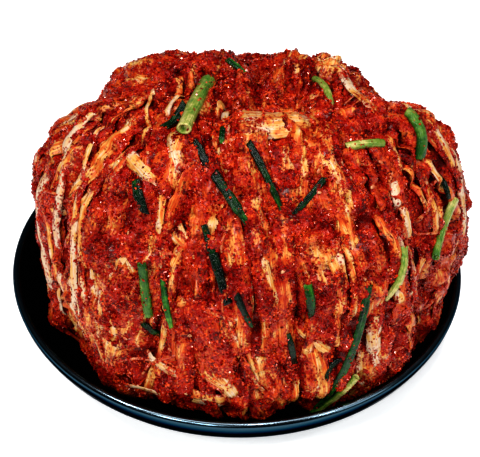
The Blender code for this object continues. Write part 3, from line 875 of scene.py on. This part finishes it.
def onion_line(node, skin, leaf, rng, t):
    """A packed onion piece's middle line laid on the skin, with the outward and forward directions along it,
    its length, its width and its thickness. The line rests on the quadratic in t that fits the skin best,
    and each end is raised or sunk a little."""
    fit, first, last, width = packed_run(node)
    if rng.random() < 0.5:
        first, last = last, first
    line = np.stack([np.polyval(fit[:, i], first + (last - first) * t[:, 0]) for i in range(3)], -1)
    ray = unit(line - HEART)
    width = width * (0.84 if leaf else 0.95)
    thick = width * (0.55 if leaf else 0.82)
    rest = skin.at(ray)
    rest = np.polyval(np.polyfit(t[:, 0], rest, 2), t[:, 0]) * 0.95 + rest * 0.05
    ends = rng.uniform(-1.6, 1.2, 2) * MM
    raised = ends[0] * (1 - smooth(t[:, 0], 0, 0.35)) + ends[1] * smooth(t[:, 0], 0.65, 1)
    line = HEART + ray * (rest + thick * 0.34 + 0.4 * MM + raised)[:, None]
    row = np.arange(len(t))
    backwards = (row < HOLLOW_ROWS) | (row >= len(t) - HOLLOW_ROWS)
    forward = unit(np.gradient(line, axis=0) * np.where(backwards, -1, 1)[:, None])
    forward[:4], forward[-4:] = forward[4], forward[-5]
    return line, ray, forward, abs(last - first), width, thick


def make_onion(name, node, finish, shade, skin, seed, leaf, rings=46, sides=20):
    """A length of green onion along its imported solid, laid on the skin. A stem is a round tube with cut,
    hollow ends. A leaf is a flattened one with a crease down its middle, a slanting cut and a tapered tip.
    Its section is the width times the cosine and the thickness times the sine of the angle round it."""
    rng = np.random.default_rng(seed)
    body = np.linspace(0, 1, rings - 2 * HOLLOW_ROWS)
    t = np.concatenate([[0.05, 0.02, 0.0], body, [1.0, 0.98, 0.95]])[:, None]
    hollow = np.concatenate([[0.50, 0.66, 0.74], np.ones(len(body)), [0.74, 0.66, 0.50]])[:, None]
    line, ray, forward, length, width, thick = onion_line(node, skin, leaf, rng, t)
    across = unit(np.cross(ray, forward))
    above = np.cross(forward, across)
    turn = np.linspace(0, 2 * math.pi, sides, endpoint=False)[None, :]
    x, up = np.cos(turn), np.sin(turn)
    taper = 1 - (0.35 * smooth(t, 0.72, 1.0) if leaf else 0.06 * t)
    breathe = 1 + 0.05 * np.sin(t * 11 + seed) + 0.03 * np.sin(t * 27 + seed)
    wide = width / 2 * taper * breathe * hollow
    deep = thick / 2 * (taper * 0.6 + 0.4) * hollow
    crease = (0.45 * np.exp(-(x / 0.28) ** 2) * (up > 0) if leaf else 0.06 * np.cos(turn * 7)) * deep
    twist = rng.uniform(-0.35, 0.35) + rng.uniform(-0.5, 0.5) * t
    sideways, upward = wide * x, deep * up - crease
    side = sideways * np.cos(twist) - upward * np.sin(twist)
    top = sideways * np.sin(twist) + upward * np.cos(twist)
    cut = rng.uniform(-1, 1) * (1 - smooth(t, 0, 0.2)) + rng.uniform(-1, 1) * smooth(t, 0.8, 1)
    slant = x * width * (0.35 if leaf else 0.12) * cut
    points = line[:, None] + across[:, None] * side[..., None] + above[:, None] * top[..., None]
    points = points + forward[:, None] * slant[..., None]
    points = points + ray[:, None] * (value_noise(points, 4 * MM, seed)[..., None] * 0.15 * MM)
    lay = np.stack(np.broadcast_arrays(np.abs(turn - math.pi) * width / 2, t * length + seed * 0.017), -1)
    inside = np.where(hollow < 1, 0.18, 0)
    # Painted light: the tone lighter along the top and one side of the piece and darker underneath, as the
    # lamps fall.
    painted_light = 0.16 * (up - 0.5) * (x + 0.8)
    tone = shade + inside + painted_light + rng.uniform(0.1, 0.4) * (t - 0.5) * rng.choice([-1, 1])
    points, faces = points.reshape(-1, 3), strip_faces(1, rings, sides)
    piece = make_piece(name, points, faces, finish, {"shade": np.clip(tone, 0, 1)}, lay)
    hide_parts(node)
    return points, faces, np.full(len(points), ONION_PASTE)


# ---------------------------------------------------------------- loose things on the skin

def gather(skin, spacing, seed):
    """Seeded points over all the skin's surfaces: place, outward ray and how much paste is there. Only points
    within 2.2 mm of the outermost surface are kept, and none lower than 16 mm over the ground."""
    found = []
    for number, (points, faces, paste) in enumerate(skin):
        corners, index = triangles_of(points, faces)
        which, shares = spread_over(corners, spacing, seed + number)
        place = (corners[which] * shares[..., None]).sum(1)
        found.append(np.column_stack([place, (paste[index[which]] * shares).sum(1)]))
    found = np.concatenate(found)
    place, paste = found[:, :3], found[:, 3]
    far = np.linalg.norm(place - HEART, axis=1)
    ray = (place - HEART) / far[:, None]
    outer = Reach.of_points(place)
    open_air = (far > outer.at(ray) - 2.2 * MM) & (place[:, 2] > 0.016)
    return place[open_air], ray[open_air], paste[open_air], outer


def turned_frames(ray, lean, rng):
    """Three square axes for each ray, the third leaning from it by a random amount, turned at random."""
    count = len(ray)
    up = unit(ray + rng.normal(0, lean, (count, 3)))
    side = unit(np.cross(up, rng.normal(0, 1, (count, 3))))
    return np.stack([side, np.cross(up, side), up], 1)


OCTAHEDRON = np.array([(1, 0, 0), (0, 1, 0), (-1, 0, 0), (0, -1, 0), (0, 0, 1), (0, 0, -1)], float)
OCTAHEDRON_FACES = np.array([(0, 1, 4), (1, 2, 4), (2, 3, 4), (3, 0, 4),
                             (1, 0, 5), (2, 1, 5), (3, 2, 5), (0, 3, 5)])


def copies(place, axes, size, shape, faces, jitter, rng):
    """One small shape at every place: its points times the size along the place's three axes, each point
    moved by a little seeded jitter."""
    local = shape[None] * size[:, None, :] * (1 + rng.uniform(-jitter, jitter, (len(place), *shape.shape)))
    points = place[:, None] + np.einsum("npk,nkc->npc", local, axes)
    shift = (np.arange(len(place)) * len(shape))[:, None, None]
    return points.reshape(-1, 3), (faces[None] + shift).reshape(-1, faces.shape[1])


FLAKE_KINDS = [
    ("chilli_flakes_dark", 22000, (0.070, 0.0012, 0.0006), (0.220, 0.0046, 0.0018), (1.2, 2.8), 0.15),
    ("chilli_flakes_red", 24500, (0.230, 0.0050, 0.0018), (0.420, 0.0140, 0.0040), (1.2, 2.9), 0.4),
    ("chilli_flakes_bright", 22000, (0.440, 0.0200, 0.0050), (0.720, 0.0950, 0.0180), (1.1, 2.7), 0.8),
    ("chilli_crumbs", 24500, (0.200, 0.0045, 0.0016), (0.620, 0.0400, 0.0100), (0.7, 1.6), 0.7),
]


def scatter_flakes(skin):
    """Loose chilli flakes: flat eight-sided crumbs, thickest where there is most paste."""
    place, ray, paste, _ = gather(skin, 0.62 * MM, 300)
    rng = np.random.default_rng(400)
    patch = value_noise(place, 12 * MM, 77) * 0.5 + value_noise(place, 5 * MM, 78) * 0.5
    for number, (name, count, dark, light, (small, large), shine) in enumerate(FLAKE_KINDS):
        lean = patch * (3.4, 0.2, -3.4, 0.0)[number]
        weight = (smooth(paste, 0.30, 0.75) + 0.02) * np.clip(0.6 + lean, 0.03, 3)
        chosen = rng.choice(len(place), min(count, len(place)), replace=False, p=weight / weight.sum())
        half = rng.uniform(small, large, (len(chosen), 1)) / 2 * MM
        size = half * rng.uniform([0.8, 0.6, 0.40], [1.2, 1.0, 0.85], (len(chosen), 3))
        axes = turned_frames(ray[chosen], 0.45, rng)
        middle = place[chosen] + ray[chosen] * 0.15 * MM
        points, faces = copies(middle, axes, size, OCTAHEDRON, OCTAHEDRON_FACES, 0.3, rng)
        stored = {"shade": np.repeat(rng.random(len(chosen)), len(OCTAHEDRON))}
        flake = chilli_flake(name, dark, light, shine)
        make_piece(name, points, [faces], flake, stored, flat=number < 3)


def scatter_seeds(skin, count=450):
    """Chilli seeds: flat discs of eight sides, a little domed."""
    place, ray, paste, _ = gather(skin, 2.2 * MM, 500)
    rng = np.random.default_rng(501)
    weight = smooth(paste, 0.2, 0.8) + 0.02
    chosen = rng.choice(len(place), count, replace=False, p=weight / weight.sum())
    turn = np.linspace(0, 2 * math.pi, 8, endpoint=False)
    ring = np.stack([np.cos(turn), np.sin(turn), 0 * turn], -1)
    shape = np.concatenate([ring, [(0, 0, 1), (0, 0, -1)]])
    edge = np.arange(8)
    faces = np.concatenate([fan_faces(edge, 8, True), fan_faces(edge, 9, False)])
    size = rng.uniform([0.9, 0.7, 0.25], [1.25, 1.0, 0.4], (count, 3)) * MM
    middle = place[chosen] + ray[chosen] * 0.3 * MM
    points, faces = copies(middle, turned_frames(ray[chosen], 0.35, rng), size, shape, faces, 0.1, rng)
    seeds = shred_finish("chilli_seed", (0.60, 0.27, 0.09), (0.50, 0.09, 0.02), 0.15)
    make_piece("chilli_seeds", points, [faces], seeds)


def scatter_lumps(name, finish, places, size, rng, outer):
    """Little rounded lumps: cubes of the unit ball's points pushed about, resting on the skin."""
    turn = np.linspace(0, 2 * math.pi, 10, endpoint=False)[None, :]
    rise = np.linspace(-RIGHT_ANGLE, RIGHT_ANGLE, 8)[1:-1, None]
    level = np.cos(rise)
    ball = np.stack(np.broadcast_arrays(np.cos(turn) * level, np.sin(turn) * level, np.sin(rise)), -1)
    shape = np.concatenate([ball.reshape(-1, 3), [(0, 0, -1), (0, 0, 1)]])
    shape = np.sign(shape) * np.abs(shape) ** 0.8
    ring = np.arange(10)
    quads = grid_faces(6, 10)
    tris = np.concatenate([fan_faces(ring, 60, False), fan_faces(ring + 50, 61, True)])
    ray = rays(*np.radians(places.T))
    centre = HEART + ray * (outer.at(ray) + size[:, 2] * 0.2)[:, None]
    axes = turned_frames(ray, 0.25, rng)
    points, quads = copies(centre, axes, size, shape, quads, 0.22, rng)
    tris = (tris[None] + (np.arange(len(places)) * len(shape))[:, None, None]).reshape(-1, 3)
    make_piece(name, points, [quads, tris], finish)


# Pale bits that stand out: azimuth, latitude, and three sizes across (mm).
PALE_BITS = [
    (-99, 50, 4.5, 3.0, 2.5), (27, 49, 3.5, 2.8, 1.4), (31, 45, 3.0, 2.6, 1.4), (24, 44, 3.2, 2.0, 1.2),
    (-52, 63, 5.5, 3.0, 1.6), (-10, 60, 4.0, 3.0, 1.6), (3, 62, 3.2, 2.2, 1.2), (44, 40, 3.6, 2.4, 1.4),
    (-29, -2, 3.0, 2.0, 1.2), (-20, 0, 3.4, 2.2, 1.3), (52, 44, 3.6, 2.6, 1.3), (15, -2, 3.2, 2.4, 1.2),
]


def scatter_garlic(outer, count=70):
    """Chopped garlic and pale crumbs of stem: the chosen ones and seeded ones all round."""
    rng = np.random.default_rng(601)
    chosen = np.array(PALE_BITS, float)
    azimuth = rng.uniform(-180, 180, count)
    seeded = np.column_stack([azimuth, np.degrees(np.arcsin(rng.uniform(-0.3, 0.98, count)))])
    places = np.concatenate([chosen[:, :2], seeded])
    size = np.concatenate([chosen[:, 2:], rng.uniform([1.6, 1.2, 0.8], [3.4, 2.4, 1.4], (count, 3))]) / 2 * MM
    garlic = shred_finish("chopped_garlic", (0.58, 0.33, 0.16), (0.46, 0.08, 0.02), 0.20)
    scatter_lumps("chopped_garlic", garlic, places, size, rng, outer)


def lay_shreds(outer, count=60):
    """Radish shreds: square-cut rods bent over the heap, stained red, half sunk in the paste."""
    rng = np.random.default_rng(701)
    middle = rays(rng.uniform(-math.pi, math.pi, count), np.arcsin(rng.uniform(-0.35, 0.97, count)))
    along = np.cross(middle, rng.normal(0, 1, (count, 3)))
    down = unit(middle * middle[:, 2:] - [0, 0, 1])
    heading = unit(unit(along) + down * 0.9)
    t = np.linspace(-1, 1, 18)[None, :, None]
    turn = (np.linspace(0, 2 * math.pi, 8, endpoint=False) + math.pi / 8)[None, None, :]
    square = 1 / (np.abs(np.cos(turn)) ** 6 + np.abs(np.sin(turn)) ** 6) ** (1 / 6)
    half = rng.uniform(0.04, 0.13, (count, 1, 1))
    thick = rng.uniform(0.7, 1.2, (count, 1, 1)) * MM
    side = np.cross(heading, middle)
    bend = rng.uniform(-0.05, 0.05, (count, 1, 1)) * t**2
    ray = unit(middle[:, None, None] + heading[:, None, None] * (half * t)[..., None]
               + side[:, None, None] * (bend + thick * square * np.cos(turn) / TYPICAL_REACH)[..., None])
    girth = 1 - 0.4 * np.abs(t) ** 8
    sink = rng.uniform(-1.2, 0.3, (count, 1, 1)) * MM - 1.4 * MM * np.abs(t) ** 4
    height = outer.softened(1).at(ray) + sink + thick * square * np.sin(turn) * girth
    points = HEART + ray * height[..., None]
    faces = strip_faces(count, 18, 8)
    radish = shred_finish("radish_shred", (0.60, 0.22, 0.07), (0.40, 0.036, 0.008), 0.25)
    points = keep_in_dish(points).reshape(-1, 3)
    make_piece("radish_shreds", points, faces, radish)
    return points, faces, np.full(len(points), SHRED_PASTE)


# ---------------------------------------------------------------- stage

def put(data, name, right, up, back, place):
    """Adds a camera or a lamp at the place, facing away from back."""
    matrix = np.identity(4)
    matrix[:3, :4] = np.stack([right, up, back, place], -1)
    item = bpy.data.objects.new(name, data)
    item.matrix_world = Matrix(matrix.tolist())
    bpy.context.scene.collection.objects.link(item)
    return item


def look_from(elevation, roll, target, distance, lens):
    """A camera at the given elevation before the dish, aimed at the target and rolled about its own axis."""
    e, r = math.radians(elevation), math.radians(roll)
    right = np.array([1.0, 0.0, 0.0])
    back = np.array([0.0, -math.cos(e), math.sin(e)])
    upright = np.cross(back, right)
    across = math.cos(r) * right + math.sin(r) * upright
    upward = -math.sin(r) * right + math.cos(r) * upright
    data = bpy.data.cameras.new("view")
    data.lens = lens
    data.sensor_width = 36.0
    place = np.array(target) + back * distance
    bpy.context.scene.camera = put(data, "view", across, upward, back, place)


def area_light(name, place, target, size, power, colour=(1, 1, 1)):
    """A rectangular lamp at the place, facing the target."""
    data = bpy.data.lights.new(name, "AREA")
    data.shape = "RECTANGLE"
    data.size, data.size_y = size
    data.energy = power
    data.color = colour
    back = unit(np.array(place, float) - np.array(target, float))
    right = unit(np.cross([0.0, 0.0, 1.0], back))
    put(data, name, right, np.cross(back, right), back, place)


# Small lamps whose glints wake the wet flakes.
GLINTS = [(0.15, -0.50, 1.30), (-0.60, -0.30, 1.00), (0.65, -0.60, 1.10), (-0.20, -0.90, 0.80),
          (0.35, 0.25, 1.20)]


def make_stage():
    """A pale floor, an even sky, three soft lamps and the small ones."""
    size = 3.0
    mesh = bpy.data.meshes.new("floor")
    corners = [(-size, -size, 0), (size, -size, 0), (size, size, 0), (-size, size, 0)]
    mesh.from_pydata(corners, [], [(0, 1, 2, 3)])
    finish = Finish("pale_floor", {"Roughness": 0.9, "Specular IOR Level": 0.0, "Emission Strength": 0.36,
                                   "Emission Color": (1, 1, 1, 1)})
    patches = finish.noise(finish.place(), 0.4)
    finish.set("Base Color", finish.mix(patches, (0.90, 0.90, 0.90), (0.92, 0.92, 0.92)))
    mesh.materials.append(finish.material)
    floor = bpy.data.objects.new("floor", mesh)
    bpy.context.scene.collection.objects.link(floor)
    world = bpy.data.worlds.new("sky")
    world.use_nodes = True
    world.node_tree.nodes["Background"].inputs["Color"].default_value = (1.0, 1.0, 1.0, 1)
    world.node_tree.nodes["Background"].inputs["Strength"].default_value = 0.05
    bpy.context.scene.world = world
    heap = (0, 0, 0.08)
    area_light("overhead", (0.0, -0.20, 1.40), heap, (1.8, 0.35), 5.0)
    area_light("key", (-0.50, -0.85, 1.00), heap, (0.2, 0.2), 4.4, (1.0, 0.98, 0.95))
    area_light("fill", (0.9, -0.6, 0.7), heap, (0.5, 0.5), 2.0)
    for number, place in enumerate(GLINTS, 1):
        area_light(f"glint_{number}", place, heap, (0.12, 0.12), 2.0)
    bpy.context.scene.view_settings.view_transform = "Standard"
    bpy.context.scene.view_settings.look = "High Contrast"


# ---------------------------------------------------------------- building

look_from(elevation=41.35, roll=1.04, target=(0.0015, 0.0, 0.0723), distance=1.0, lens=106.3)
make_stage()
make_dish()

skin = []
points, faces = make_core()
skin.append((points, faces, np.full(len(points), CORE_PASTE)))
cabbage_finish = cabbage()
fill = fill_leaves(21)
for number in range(3):
    name, rows = f"leaves_beneath_{number + 1}", fill[number::3]
    skin.append(make_leaves(name, rows, 30 + 10 * number, reach, cabbage_finish))
calm = reach.softened(24)
for number in range(2):
    name, rows = f"leaves_on_top_{number + 1}", CHOSEN_LEAVES[number::2]
    skin.append(make_leaves(name, rows, 70 + number, calm, cabbage_finish, torn=0.0, rings=62, sides=20))

_, _, _, outer = gather(skin, 1.0 * MM, 200)
skin.append(lay_shreds(outer))
stem_green = green_onion("onion_stem", [
    (0.0, (0.004, 0.016, 0.005)), (0.35, (0.013, 0.070, 0.011)), (0.62, (0.070, 0.175, 0.022)),
    (0.85, (0.250, 0.290, 0.060)), (1.0, (0.520, 0.450, 0.170))])
leaf_green = green_onion("onion_leaf", [
    (0.0, (0.001, 0.003, 0.002)), (0.28, (0.002, 0.014, 0.005)), (0.52, (0.006, 0.055, 0.008)),
    (0.75, (0.050, 0.190, 0.018)), (1.0, (0.260, 0.400, 0.060))])
onions = [("stem", stem_green, STEM_SHADES, 800), ("leaf", leaf_green, LEAF_SHADES, 900)]
for kind, finish, shades, seed in onions:
    nodes = [n for n in ONION_NODES if kind in n]
    for number, (node, shade) in enumerate(zip(nodes, shades), 1):
        name, slot = f"cut_{kind}_{number:02d}", f"onion_{kind}"
        skin.append(make_onion(name, node, finish, shade, outer, seed + number, kind == "leaf"))
scatter_garlic(outer)
scatter_flakes(skin)
scatter_seeds(skin)
